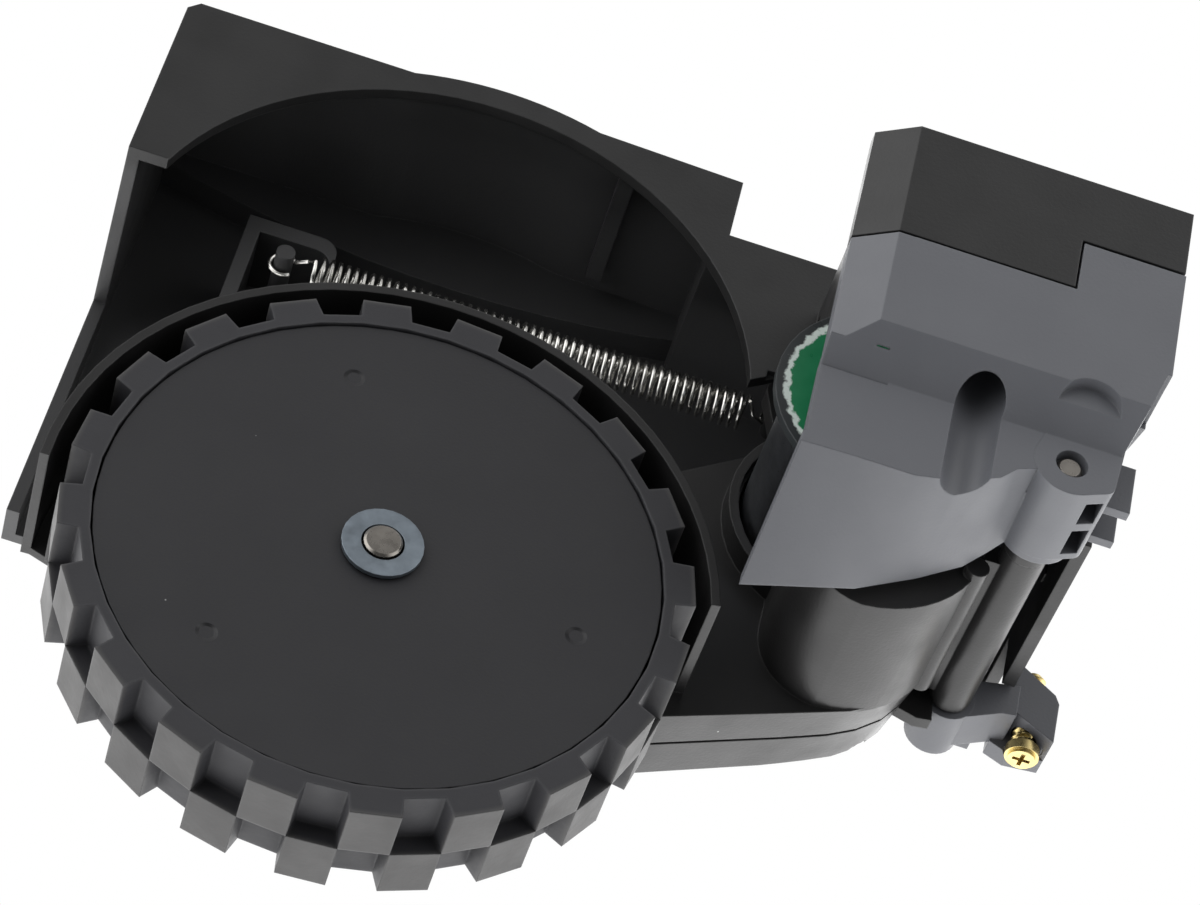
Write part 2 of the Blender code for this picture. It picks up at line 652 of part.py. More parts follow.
def housing():
    shell = prism("housing", housing_outline(0.0), PLATE_FRONT, HOUSING_BACK, HOUSING)
    inside = housing_outline(HOUSING_WALL)
    inside = [(x, z - 30.0) if z < 36.0 else (x, z) for x, z in inside]
    cut(shell, prism("housing_inside", inside, PLATE_FRONT + HOUSING_WALL, HOUSING_BACK - HOUSING_WALL))

    join(shell, prism("tower", tower_outline(0.0), 46.9, TOWER_TOP, axis=AXIS_Z))
    cut(shell, prism("tower_inside", tower_outline(HOUSING_WALL), 40.0, TOWER_TOP - HOUSING_WALL, axis=AXIS_Z))
    cut(shell, box("tower_seam", (66.05, -30.0, 40.0), (90.0, PLATE_FRONT + 0.8, 54.6)))
    cut(shell, box("tower_lead_way", (38.0, -18.0, 40.0), (50.0, PLATE_FRONT + 0.8, 52.5)))
    join(shell, cylinder("screw_boss", DRIVER_BORE, SCREW_BOSS_RADIUS, SCREW_FLOOR + 2.4, TOWER_TOP - 0.6,
                         steps=24, axis=AXIS_Z))
    cut(shell, cylinder("screw_boss_bore", DRIVER_BORE, 1.5, SCREW_FLOOR + 2.0, 52.5, steps=16, axis=AXIS_Z))
    join(shell, box("right_wall", (76.0, -3.6, 25.0), (HOUSING_RIGHT, PLATE_FRONT + 1.2, 66.0)))

    step = [(-42.9, 81.9)] + ledge_curve(-42.9, 36.2, 0.0)
    step += [(36.2, 71.8), (28.4, 71.8), (28.4, 81.9)]
    join(shell, prism("ledge", step, LEDGE_Y, HOUSING_BACK - 0.8))
    pocket = [(-41.2, 79.6)] + ledge_curve(-41.2, 25.8, HOUSING_WALL) + [(25.8, 79.6)]
    cut(shell, prism("ledge_pocket", pocket, LEDGE_Y + HOUSING_WALL, HOUSING_BACK + 2.0))

    cut(shell, cylinder("arch", ARCH, ARCH_RADIUS, PLATE_FRONT - 2.0, PLATE_FRONT + 3.0, steps=80))
    below = [(-40.9, 42.5), (-40.9, -5.0), (75.8, -5.0), (75.8, 62.2), (42.0, 62.2), (39.5, 52.5),
             (36.0, 50.0), (36.0, 42.5)]
    cut(shell, prism("plate_lower_edge", below, PLATE_FRONT - 2.0, PLATE_FRONT + HOUSING_WALL + 0.6))
    corner = [(PLATE_FRONT - 2.0, 55.7), (LEDGE_Y, 52.2), (LEDGE_Y, 0.0), (PLATE_FRONT - 2.0, 0.0)]
    cut(shell, prism("left_wall_front", corner, -60.0, -38.9, axis=AXIS_X))
    cut(shell, box("right_wall_rear", (75.0, 22.4, 0.0), (90.0, HOUSING_BACK - HOUSING_WALL - 0.4, 36.0)))
    cut(shell, box("right_wall_lower", (75.0, 4.0, 0.0), (90.0, 30.0, 25.1)))
    join(shell, box("right_foot", (73.6, -3.4, 25.2), (HOUSING_RIGHT - 0.2, 22.0, 27.0)))

    boss = hull([((-27.5, 58.5), 2.5), ((-19.5, 58.8), 2.5), ((-27.5, 50.5), 2.0), ((-19.5, 50.5), 2.0)], 16)
    join(shell, prism("spring_boss", boss, 27.0, HOUSING_BACK - 0.8))
    join(shell, cylinder("housing_spring_post", HOUSING_POST, 1.2, 20.6, 27.5, steps=16))
    return shell


# pivot bracket


def bracket_section(inset):
    """Front wall in Y and Z: upper face, slanted band, lower face."""
    back = BRACKET_WALL
    return [(TOWER_FRONT, 54.2), (TOWER_FRONT, 32.4), (LOWER_FACE_Y, 27.8), (LOWER_FACE_Y, 14.8),
            (LOWER_FACE_Y + back, 14.8), (LOWER_FACE_Y + back, 28.6), (TOWER_FRONT + back, 33.2),
            (TOWER_FRONT + back, 54.2)]


def tongue_mesh():
    """Ruled sheet from the lower face back over the arm's drum."""
    front = [(39.9, 15.1), (46.0, 15.2), (53.0, 15.5), (58.0, 17.0), (63.7, 19.9), (67.5, 21.6)]
    rear = [(38.8, 6.8), (45.0, 9.0), (51.5, 11.3), (58.1, 15.5), (65.0, 20.6), (67.5, 21.8)]
    depths = [TONGUE_REAR_Y] * 5 + [TONGUE_REAR_Y - 2.5]
    sections = []
    for (fx, fz), (rx, rz), depth in zip(front, rear, depths):
        sections.append([(fx, LOWER_FACE_Y, fz), (rx, depth, rz),
                         (rx, depth, rz + 1.4), (fx, LOWER_FACE_Y, fz + 1.6)])
    mesh = bpy.data.meshes.new("tongue")
    shape = bmesh.new()
    rings = [[shape.verts.new([part * MM for part in spot]) for spot in ring] for ring in sections]
    for lower, upper in zip(rings, rings[1:]):
        for n in range(4):
            shape.faces.new((lower[n], lower[(n + 1) % 4], upper[(n + 1) % 4], upper[n]))
    shape.faces.new(rings[0][::-1])
    shape.faces.new(rings[-1])
    bmesh.ops.recalc_face_normals(shape, faces=shape.faces)
    shape.to_mesh(mesh)
    shape.free()
    return mesh


def bracket():
    body = prism("pivot_bracket", bracket_section(0.0), TOWER_LEFT, 78.7, BRACKET, axis=AXIS_X)
    side = [(TOWER_FRONT + 0.3, 54.2), (TOWER_FRONT + 0.3, 33.0), (LOWER_FACE_Y + 0.3, 28.4),
            (-6.0, 30.0), (-6.0, 54.2)]
    join(body, prism("bracket_side", side, 77.8, 78.68, axis=AXIS_X))
    join(body, place("tongue_sheet", tongue_mesh(), None, DATUM))
    seam = [(30.0, 46.6), (66.35, 46.6), (66.35, 60.0), (30.0, 60.0)]
    cut(body, prism("seam_notch", seam, TOWER_FRONT - 1.0, LOWER_FACE_Y + 20.0))
    corner = [(38.0, -28.0), (47.0, -28.0), (47.0, -19.0), (38.0, -19.0)]
    cut(body, prism("corner_room", corner, 30.3, 60.0, axis=AXIS_Z))
    bevel = [(TOWER_LEFT, -18.9), (TOWER_LEFT, -21.4), (45.0, TOWER_FRONT), (47.3, TOWER_FRONT),
             (47.3, TOWER_FRONT + 2.0), (45.6, TOWER_FRONT + 2.0), (42.2, -20.4), (42.2, -18.9)]
    join(body, prism("corner_wall", bevel, 28.4, 46.55, axis=AXIS_Z))
    under = [(-28.0, 35.75), (LOWER_FACE_Y + 0.3, 27.45), (-28.0, 26.0)]
    cut(body, prism("corner_foot", under, 30.0, 48.0, axis=AXIS_X))
    right = [(67.6, 10.0), (80.0, 10.0), (80.0, 29.5), (76.0, 29.0), (75.4, 22.0), (73.0, 20.2), (67.6, 20.2)]
    cut(body, prism("lower_right_edge", right, LOWER_FACE_Y - 0.5, LOWER_FACE_Y + 4.0))

    ear = hull([(PIVOT, EAR_RADIUS), ((74.2, 25.4), 1.5), ((72.0, 32.0), 4.0), ((74.9, 33.0), 1.0)], 32)
    join(body, prism("outer_ear_block", ear, LOWER_FACE_Y - 0.06, -8.6))
    join(body, cylinder("outer_ear", PIVOT, EAR_RADIUS - 0.02, -12.0, -4.7, steps=24))
    join(body, box("lap", (63.2, TOWER_FRONT + 1.9, 35.1), (75.2, TOWER_FRONT + 3.4, 61.5)))
    join(body, box("lap_lip", (47.8, TOWER_FRONT + 2.0, 38.0), (63.6, TOWER_FRONT + 3.3, 49.5)))
    spine = [(TOWER_FRONT + 2.3, 60.2), (33.2, 60.2), (33.2, 24.0), (35.0, 24.0), (35.0, 61.8),
             (TOWER_FRONT + 2.3, 61.8)]
    join(body, prism("rear_spine", spine, 67.6, 75.4, axis=AXIS_X))
    join(body, cylinder("inner_ear", PIVOT, INNER_EAR_RADIUS, 25.0, 34.9, steps=40))
    lug = [(70.0, 20.6), (78.8, 21.6), (83.8, 22.8), (84.3, 24.2), (84.5, 31.2), (78.7, 33.4), (73.0, 30.0)]
    join(body, prism("lug", lug, 26.4, 33.6))
    join(body, box("screw_floor", (52.0, TOWER_FRONT + 1.5, SCREW_FLOOR - 0.2), (62.8, -16.2, SCREW_FLOOR + 2.0)))

    cut(body, cylinder("driver_bore", DRIVER_BORE, DRIVER_BORE_RADIUS, 8.0, SCREW_FLOOR, steps=28,
                       axis=AXIS_Z))
    cut(body, cylinder("bracket_screw_hole", DRIVER_BORE, 1.5, 42.0, 50.0, steps=16, axis=AXIS_Z))
    cut(body, cylinder("boss_room", DRIVER_BORE, SCREW_BOSS_RADIUS + GAP, SCREW_FLOOR + 1.9, 62.0,
                       steps=24, axis=AXIS_Z))
    cut(body, cylinder("pin_bore", PIVOT, PIN_RADIUS + 0.2, LOWER_FACE_Y - 2.0, 31.6, steps=24))
    cut(body, cylinder("pin_mouth", PIVOT, 1.9, LOWER_FACE_Y - 2.0, LOWER_FACE_Y + 1.5, steps=24))
    cut(body, cylinder("lug_screw_hole", LUG_SCREW, 1.7, 15.0, 40.0, steps=16, axis=AXIS_Z))
    cut(body, cylinder("lug_screw_seat", LUG_SCREW, 2.4, 15.0, 22.3, steps=20, axis=AXIS_Z))
    return body


def fasteners():
    pin = [(0.0, LOWER_FACE_Y + 0.6), (PIN_RADIUS - 0.3, LOWER_FACE_Y + 0.6), (PIN_RADIUS, LOWER_FACE_Y + 0.9),
           (PIN_RADIUS, 31.0), (PIN_RADIUS - 0.3, 31.3), (0.0, 31.3)]
    turned("pivot_pin", pin, PIVOT, STEEL, DATUM, 24)
    screw = cylinder("lug_screw", LUG_SCREW, 1.35, 21.9, 35.3, BRASS, DATUM, 20, AXIS_Z)
    join(screw, cylinder("lug_screw_head", LUG_SCREW, 2.1, 20.3, 22.0, steps=24, axis=AXIS_Z))
    screw = cylinder("bracket_screw", DRIVER_BORE, 1.2, 42.7, 51.0, STEEL_DARK, DATUM, 16, AXIS_Z)
    join(screw, cylinder("bracket_screw_head", DRIVER_BORE, 2.3, 41.4, SCREW_FLOOR - 0.5, steps=20, axis=AXIS_Z))


# spring


def extension_spring():
    """Close-wound coils with a straight tail and an eye at each end."""
    per_turn = 6
    points = []
    for n in range(SPRING_TURNS * per_turn + 1):
        share = n / (SPRING_TURNS * per_turn)
        angle = 2 * math.pi * n / per_turn + math.pi
        points.append((SPRING_START + (SPRING_END - SPRING_START) * share,
                       SPRING_Y + SPRING_RADIUS * math.cos(angle),
                       SPRING_Z + SPRING_RADIUS * math.sin(angle)))
    wire("extension_spring", points, WIRE_RADIUS, SPRING, DATUM, 0)


clear_scene()
PARTS = collection("robot_vacuum_wheel_module")
CUTTERS = collection("cutters")

HOUSING = material("black housing plastic", (0.030, 0.030, 0.032), 0.42)
ARM = material("black arm plastic", (0.022, 0.022, 0.023), 0.35)
BRACKET = material("grey bracket plastic", (0.115, 0.12, 0.135), 0.5)
WHEEL = material("dark grey wheel plastic", (0.038, 0.038, 0.042), 0.5)
TYRE = material("tyre rubber", (0.045, 0.045, 0.05), 0.6)
STEEL = material("bright steel", (0.55, 0.54, 0.52), 0.3, 1.0)
STEEL_DULL = material("zinc steel", (0.42, 0.43, 0.45), 0.4, 1.0)
STEEL_DARK = material("dark screw steel", (0.08, 0.08, 0.085), 0.4, 1.0)
SPRING = material("spring steel", (0.62, 0.6, 0.56), 0.22, 1.0)
BRASS = material("yellow zinc", (0.72, 0.58, 0.28), 0.3, 1.0)
BRONZE = material("sintered bronze", (0.45, 0.3, 0.16), 0.5, 1.0)
BOARD = material("green board", (0.02, 0.2, 0.09), 0.4)
MAGNET = material("dark magnet", (0.05, 0.05, 0.055), 0.5)
GEAR = material("white gear plastic", (0.75, 0.74, 0.7), 0.45)

CENTRES = train_centres()
COVER_SCREWS = (
    ("cover_screw_lower", (36.8, 7.6)),
    ("cover_screw_pivot", (59.3, 18.6)),
)

DATUM = empty("wheel_datum", -ARCH[0], -HOUSING_BACK, -ARCH[1])
ARM_AXIS = empty("arm_axis", PIVOT[0], 0.0, PIVOT[1], DATUM)
WHEEL_AXIS = empty("wheel_axis", 0.0, 0.0, 0.0, ARM_AXIS)
MOTOR_AXIS = empty("motor_axis", MOTOR[0], 0.0, MOTOR[1], ARM_AXIS)
FIRST_AXIS = empty("first_gear_axis", CENTRES[0][0], 0.0, CENTRES[0][1], ARM_AXIS)
SECOND_AXIS = empty("second_gear_axis", CENTRES[1][0], 0.0, CENTRES[1][1], ARM_AXIS)
THIRD_AXIS = empty("third_gear_axis", CENTRES[2][0], 0.0, CENTRES[2][1], ARM_AXIS)

housing()
bracket()
fasteners()
swing_arm()
motor()
gear_train(GEAR)
wheel()
extension_spring()
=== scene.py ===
import math

import bmesh
import bpy
from mathutils import Matrix, Vector


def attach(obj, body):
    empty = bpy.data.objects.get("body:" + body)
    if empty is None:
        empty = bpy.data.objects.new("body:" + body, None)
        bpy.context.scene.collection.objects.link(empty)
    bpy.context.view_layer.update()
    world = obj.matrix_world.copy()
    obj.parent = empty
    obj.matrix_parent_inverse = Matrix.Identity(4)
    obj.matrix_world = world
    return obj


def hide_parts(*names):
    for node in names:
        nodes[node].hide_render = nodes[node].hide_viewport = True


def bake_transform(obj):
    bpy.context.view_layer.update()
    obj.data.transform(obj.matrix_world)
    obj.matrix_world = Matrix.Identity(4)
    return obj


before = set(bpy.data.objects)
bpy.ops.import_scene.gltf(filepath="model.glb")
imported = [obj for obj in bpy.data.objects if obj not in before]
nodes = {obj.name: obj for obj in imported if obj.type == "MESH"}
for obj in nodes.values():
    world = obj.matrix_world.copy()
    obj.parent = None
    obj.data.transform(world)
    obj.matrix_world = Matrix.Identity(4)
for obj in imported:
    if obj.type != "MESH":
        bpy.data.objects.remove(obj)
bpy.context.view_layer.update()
scene = bpy.context.scene

MM = 0.001
# the part's own frame has its origin at the centre of the dropped wheel's outer face
DATUM = Vector((2.02, -41.0, -42.42)) * MM


def at(x, y, z):
    """A point of the part's own frame, in metres of the shared one."""
    return Vector((x, y, z)) * MM + DATUM


MOTOR = at(51.4, 0.0, 36.5)
WHEEL = at(0.0, 0.0, 0.0)
# surfaces behind this depth are painted paler: painted fill light for the housing's inside, which the lamps
# leave too dark
INSIDE_Y = at(0.0, 14.0, 0.0).y
# where the wheel disc's three ejector marks lie, in X and Z
EJECTOR_MARKS = ((-8.8, 22.3), (-14.9, -18.4), (23.2, -3.7))
# radii between which a surface changes, in metres
EJECTOR_EDGE = (0.0008, 0.00125)
# the tyre's crown, between these radii, carries painted light
TREAD_CROWN = (0.0349, 0.0355)
LACQUER_END = (0.0126, 0.0128)
PALE_RING_END = (0.0132, 0.0135)


# camera and light

CAMERA_SPOT = (0.002789, -0.358905, -0.301362)
CAMERA_RIGHT = (0.95131, -0.23513, 0.19929)
CAMERA_FORWARD = (0.04608, 0.74779, 0.66233)
CAMERA_LENS = 112.02
CAMERA_SENSOR = 36.0


def make_camera():
    """The photograph's view, as solved from the wheel's ellipses and the housing's edges."""
    right = Vector(CAMERA_RIGHT).normalized()
    forward = Vector(CAMERA_FORWARD)
    forward = (forward - right * forward.dot(right)).normalized()
    up = right.cross(forward)
    data = bpy.data.cameras.new("camera")
    data.lens = CAMERA_LENS
    data.sensor_width = CAMERA_SENSOR
    data.clip_start = 0.01
    data.clip_end = 20.0
    camera = bpy.data.objects.new("camera", data)
    scene.collection.objects.link(camera)
    camera.matrix_world = Matrix((
        (right.x, up.x, -forward.x, CAMERA_SPOT[0]),
        (right.y, up.y, -forward.y, CAMERA_SPOT[1]),
        (right.z, up.z, -forward.z, CAMERA_SPOT[2]),
        (0.0, 0.0, 0.0, 1.0),
    ))
    scene.camera = camera


# studio brightness by direction: centre of a soft patch, cosine where it starts and
# where it is full, and what it adds to the dim room; the last one takes light away
ROOM = 0.40
PATCHES = (
    ((0.0, 1.0, -0.20), -0.15, 0.45, 2.15),
    ((-0.85, -0.50, 0.12), 0.58, 0.95, 1.90),
    ((0.85, -0.50, 0.25), 0.58, 0.95, 1.20),
    ((0.0, 0.15, 1.0), 0.60, 0.95, 0.50),
    ((0.0, -0.72, -0.69), 0.45, 0.97, -0.26),
)


def make_world():
    """White to the camera, a grey room with soft bright patches to everything else."""
    world = bpy.data.worlds.new("studio")
    scene.world = world
    world.use_nodes = True
    tree = world.node_tree
    tree.nodes.clear()
    out = tree.nodes.new("ShaderNodeOutputWorld")
    mix = tree.nodes.new("ShaderNodeMixShader")
    path = tree.nodes.new("ShaderNodeLightPath")
    plain = tree.nodes.new("ShaderNodeBackground")
    plain.inputs["Color"].default_value = (1.0, 1.0, 1.0, 1.0)
    room = tree.nodes.new("ShaderNodeBackground")
    room.inputs["Color"].default_value = (1.0, 1.0, 1.0, 1.0)
    where = tree.nodes.new("ShaderNodeTexCoord")
    total = ROOM
    for centre, start, full, strength in PATCHES:
        dot = tree.nodes.new("ShaderNodeVectorMath")
        dot.operation = "DOT_PRODUCT"
        dot.inputs[1].default_value = Vector(centre).normalized()
        tree.links.new(where.outputs["Generated"], dot.inputs[0])
        fade = tree.nodes.new("ShaderNodeMapRange")
        fade.interpolation_type = "SMOOTHSTEP"
        fade.inputs["From Min"].default_value = start
        fade.inputs["From Max"].default_value = full
        fade.inputs["To Min"].default_value = 0.0
        fade.inputs["To Max"].default_value = strength
        tree.links.new(dot.outputs["Value"], fade.inputs["Value"])
        add = tree.nodes.new("ShaderNodeMath")
        if isinstance(total, float):
            add.inputs[0].default_value = total
        else:
            tree.links.new(total, add.inputs[0])
        tree.links.new(fade.outputs[0], add.inputs[1])
        total = add.outputs[0]
    tree.links.new(total, room.inputs["Strength"])
    tree.links.new(path.outputs["Is Camera Ray"], mix.inputs[0])
    tree.links.new(room.outputs[0], mix.inputs[1])
    tree.links.new(plain.outputs[0], mix.inputs[2])
    tree.links.new(mix.outputs[0], out.inputs[0])


# materials

BEVEL_SAMPLES = 4


class Look:
    """A Principled material with small helpers for its procedural inputs."""

    def __init__(self, name, rough, metallic=0.0, specular=0.5):
        self.material = bpy.data.materials.new(name)
        self.material.use_nodes = True
        self.tree = self.material.node_tree
        self.shader = self.tree.nodes["Principled BSDF"]
        self.shader.inputs["Roughness"].default_value = rough
        self.shader.inputs["Metallic"].default_value = metallic
        self.shader.inputs["Specular IOR Level"].default_value = specular
        self.where = self.add("ShaderNodeTexCoord").outputs["Object"]
        self.normal = None

    def add(self, kind):
        return self.tree.nodes.new(kind)

    def link(self, source, target):
        self.tree.links.new(source, target)

    def noise(self, scale, detail, rough=0.5, stretch=None):
        made = self.add("ShaderNodeTexNoise")
        made.inputs["Scale"].default_value = scale
        made.inputs["Detail"].default_value = detail
        made.inputs["Roughness"].default_value = rough
        self.link(self.place(stretch), made.inputs["Vector"])
        return made.outputs["Fac"]

    def place(self, stretch):
        if stretch is None:
            return self.where
        move = self.add("ShaderNodeMapping")
        move.inputs["Scale"].default_value = stretch
        self.link(self.where, move.inputs["Vector"])
        return move.outputs[0]

    def band(self, source, low, high, start=0.0, end=1.0):
        made = self.add("ShaderNodeMapRange")
        made.inputs["From Min"].default_value = low
        made.inputs["From Max"].default_value = high
        made.inputs["To Min"].default_value = start
        made.inputs["To Max"].default_value = end
        self.link(source, made.inputs["Value"])
        return made.outputs[0]

    def math(self, operation, first, second):
        made = self.add("ShaderNodeMath")
        made.operation = operation
        for socket, value in zip(made.inputs, (first, second)):
            if isinstance(value, (int, float)):
                socket.default_value = value
            else:
                self.link(value, socket)
        return made.outputs[0]

    def mix(self, share, first, second):
        made = self.add("ShaderNodeMix")
        made.data_type = "RGBA"
        self.link(share, made.inputs[0])
        for socket, value in ((made.inputs[6], first), (made.inputs[7], second)):
            if isinstance(value, tuple):
                socket.default_value = value + (1.0,)
            else:
                self.link(value, socket)
        return made.outputs[2]

    def bump(self, height, depth):
        """Relief of a depth in metres, on top of what was there."""
        made = self.add("ShaderNodeBump")
        made.inputs["Distance"].default_value = depth
        made.inputs["Strength"].default_value = 1.0
        self.link(height, made.inputs["Height"])
        if self.normal is not None:
            self.link(self.normal, made.inputs["Normal"])
        self.normal = made.outputs[0]

    def soften(self, radius):
        """Edges that shade as if they were rounded."""
        made = self.add("ShaderNodeBevel")
        made.samples = BEVEL_SAMPLES
        made.inputs["Radius"].default_value = radius
        self.normal = made.outputs[0]

    def edge(self, radius):
        """0 on flat stretches, 1 on edges, which get a painted highlight and, on the plastics, wear."""
        wide = self.add("ShaderNodeBevel")
        wide.samples = BEVEL_SAMPLES
        wide.inputs["Radius"].default_value = radius
        flat = self.add("ShaderNodeNewGeometry")
        dot = self.add("ShaderNodeVectorMath")
        dot.operation = "DOT_PRODUCT"
        self.link(wide.outputs[0], dot.inputs[0])
        self.link(flat.outputs["Normal"], dot.inputs[1])
        away = self.math("SUBTRACT", 1.0, dot.outputs["Value"])
        return self.band(away, 0.02, 0.25)

    def away(self, spot):
        """Distance from an axis along Y through a spot."""
        shift = self.add("ShaderNodeVectorMath")
        shift.operation = "SUBTRACT"
        self.link(self.where, shift.inputs[0])
        shift.inputs[1].default_value = spot
        flat = self.add("ShaderNodeVectorMath")
        flat.operation = "MULTIPLY"
        self.link(shift.outputs[0], flat.inputs[0])
        flat.inputs[1].default_value = (1.0, 0.0, 1.0)
        length = self.add("ShaderNodeVectorMath")
        length.operation = "LENGTH"
        self.link(flat.outputs[0], length.inputs[0])
        return length.outputs["Value"]

    def specks(self, scale, size, share):
        """Sparse dust: one small dot in a share of the cells."""
        cells = self.add("ShaderNodeTexVoronoi")
        cells.inputs["Scale"].default_value = scale
        self.link(self.where, cells.inputs["Vector"])
        near = self.band(cells.outputs["Distance"], size, size * 0.6)
        pick = self.add("ShaderNodeSeparateColor")
        self.link(cells.outputs["Color"], pick.inputs[0])
        chosen = self.math("LESS_THAN", pick.outputs[0], share)
        return self.math("MULTIPLY", near, chosen)

    def colour(self, source):
        self.link(source, self.shader.inputs["Base Color"])

    def rough(self, source):
        self.link(source, self.shader.inputs["Roughness"])

    def finish(self):
        if self.normal is not None:
            self.link(self.normal, self.shader.inputs["Normal"])
        return self.material


def moulded(name, dark, light, rough, grain=2600.0, depth=0.00002, rounding=0.00025, edge_highlight_and_wear=0.25,
            dust=0.02, specular=0.5, deep=None, marks=()):
    """Satin plastic; deep is a paler colour painted on the surfaces inside the housing as painted fill light,
    marks are ejector spots.
    """
    look = Look(name, rough, specular=specular)
    look.soften(rounding)
    clouds = look.noise(45.0, 5.0, 0.6)
    tone = look.mix(look.band(clouds, 0.32, 0.68), dark, light)
    if deep is not None:
        # painted fill light: surfaces inside the housing get the paler deep colour in place of light
        split = look.add("ShaderNodeSeparateXYZ")
        look.link(look.where, split.inputs[0])
        inside = look.band(split.outputs[1], INSIDE_Y - 0.002, INSIDE_Y)
        tone = look.mix(inside, tone, deep)
    # paler edges: painted highlight along the edges, with some real wear
    painted_light = tuple(min(1.0, c * 1.9 + 0.01) for c in light)
    edge = look.math("MULTIPLY", look.edge(rounding * 2.0), edge_highlight_and_wear)
    tone = look.mix(edge, tone, painted_light)
    speck = look.specks(330.0, 0.045, dust)
    tone = look.mix(look.math("MULTIPLY", speck, 0.55), tone, (0.55, 0.55, 0.54))
    look.colour(tone)
    smudge = look.noise(140.0, 3.0, 0.55)
    look.rough(look.band(smudge, 0.3, 0.7, rough - 0.06, rough + 0.07))
    look.bump(look.noise(grain, 2.0, 0.5), depth)
    for x, z in marks:
        look.bump(look.band(look.away(at(x, 0.0, z)), *EJECTOR_EDGE), 0.0005)
    return look.finish()


def metal(name, colour, rough, streak=(1.0, 1.0, 1.0), stain=0.25):
    """Bare or plated metal with fine scratches, stretched by streak and dulled in patches by stain."""
    look = Look(name, rough, 1.0)
    look.soften(0.00012)
    clouds = look.noise(380.0, 4.0, 0.6)
    dull = tuple(c * (1.0 - stain) for c in colour)
    look.colour(look.mix(look.band(clouds, 0.35, 0.7), colour, dull))
    lines = look.noise(900.0, 3.0, 0.6, streak)
    look.rough(look.band(lines, 0.3, 0.7, rough - 0.07, rough + 0.1))
    look.bump(lines, 0.00001)
    return look.finish()


def rubber():
    """Dark tyre rubber, with painted light on the tread's crown and a painted highlight on its edges."""
    look = Look("tyre rubber", 0.62, specular=0.35)
    look.soften(0.0003)
    clouds = look.noise(60.0, 5.0, 0.6)
    tone = look.mix(look.band(clouds, 0.3, 0.7), (0.023, 0.023, 0.026), (0.030, 0.030, 0.034))
    # painted light: the tread's crown is painted paler, as if lit
    painted_light = look.band(look.away(WHEEL), *TREAD_CROWN)
    tone = look.mix(painted_light, tone, (0.050, 0.049, 0.049))
    # painted highlight on the tread's edges
    edge = look.math("MULTIPLY", look.edge(0.0006), 0.35)
    tone = look.mix(edge, tone, (0.11, 0.11, 0.115))
    look.colour(tone)
    look.rough(look.band(look.noise(200.0, 3.0), 0.3, 0.7, 0.52, 0.66))
    look.bump(look.noise(1500.0, 3.0, 0.6), 0.00003)
    return look.finish()


def board():
    """Green lacquer, a rough pale ring at its edge and clear laminate beyond it."""
    look = Look("board lacquer", 0.3)
    look.soften(0.0002)
    ragged = look.band(look.noise(700.0, 3.0, 0.6), 0.3, 0.7, -0.0004, 0.0004)
    radius = look.math("ADD", look.away(MOTOR), ragged)
    clouds = look.noise(160.0, 4.0, 0.6)
    tone = look.mix(look.band(clouds, 0.3, 0.7), (0.010, 0.150, 0.060), (0.014, 0.190, 0.080))
    tone = look.mix(look.band(radius, *LACQUER_END), tone, (0.62, 0.70, 0.66))
    tone = look.mix(look.band(radius, *PALE_RING_END), tone, (0.030, 0.034, 0.036))
    look.colour(tone)
    look.rough(look.band(clouds, 0.3, 0.7, 0.24, 0.40))
    return look.finish()


MATERIALS = {
    # the housing's deep colour is painted fill light for its inside, not a tone of the plastic
    "housing": moulded("housing plastic", (0.0110, 0.0110, 0.0112), (0.0150, 0.0150, 0.0153), 0.40,
                       specular=0.40, deep=(0.034, 0.034, 0.035)),
    "arm": moulded("arm plastic", (0.0120, 0.0117, 0.0119), (0.0155, 0.0152, 0.0155), 0.38, specular=0.36),
    "bracket": moulded("bracket plastic", (0.096, 0.099, 0.111), (0.106, 0.110, 0.122), 0.46, edge_highlight_and_wear=0.12),
    "wheel": moulded("wheel plastic", (0.0135, 0.0135, 0.0158), (0.0165, 0.0165, 0.0188), 0.5, grain=3200.0,
                     depth=0.00003, dust=0.05, specular=0.42, marks=EJECTOR_MARKS),
    "tyre": rubber(),
    "steel": metal("bright steel", (0.30, 0.28, 0.255), 0.28),
    "can": metal("motor case steel", (0.20, 0.21, 0.23), 0.34, (1.0, 8.0, 1.0)),
    "washer": metal("washer steel", (0.25, 0.29, 0.33), 0.42),
    "dark steel": metal("blackened steel", (0.10, 0.10, 0.105), 0.38),
    "spring": metal("spring wire", (0.66, 0.65, 0.62), 0.2),
    "brass": metal("yellow zinc", (0.75, 0.60, 0.27), 0.26, stain=0.35),
    "bronze": metal("sintered bronze", (0.42, 0.28, 0.15), 0.5),
    "board": board(),
    "magnet": moulded("bonded magnet", (0.05, 0.05, 0.055), (0.06, 0.06, 0.065), 0.5),
    "gear": moulded("gear acetal", (0.70, 0.69, 0.65), (0.76, 0.75, 0.71), 0.42, dust=0.0),
}

FINISHES = {
    "housing": "housing",
    "pivot_bracket": "bracket",
    "bracket_screw": "dark steel",
    "lug_screw": "brass",
    "pivot_pin": "steel",
    "extension_spring": "spring",
    "arm_shell": "arm",
    "gearbox_cover": "arm",
    "cover_screw_lower": "dark steel",
    "cover_screw_pivot": "dark steel",
    "outer_shaft_bush": "bronze",
    "inner_shaft_bush": "bronze",
    "first_gear_pin": "steel",
    "second_gear_pin": "steel",
    "third_gear_pin": "steel",
    "motor_can": "can",
    "encoder_board": "board",
    "motor_shaft": "steel",
    "motor_rear_shaft": "steel",
    "motor_pinion": "brass",
    "encoder_magnet": "magnet",
    "first_gear": "gear",
    "second_gear": "gear",
    "third_gear": "gear",
    "output_gear": "gear",
    "wheel_disc": "wheel",
    "tyre": "tyre",
    "hub_washer": "washer",
    "wheel_shaft": "steel",
}


WELD_REACH = 0.000002
SHARP_ANGLE = math.radians(27.0)


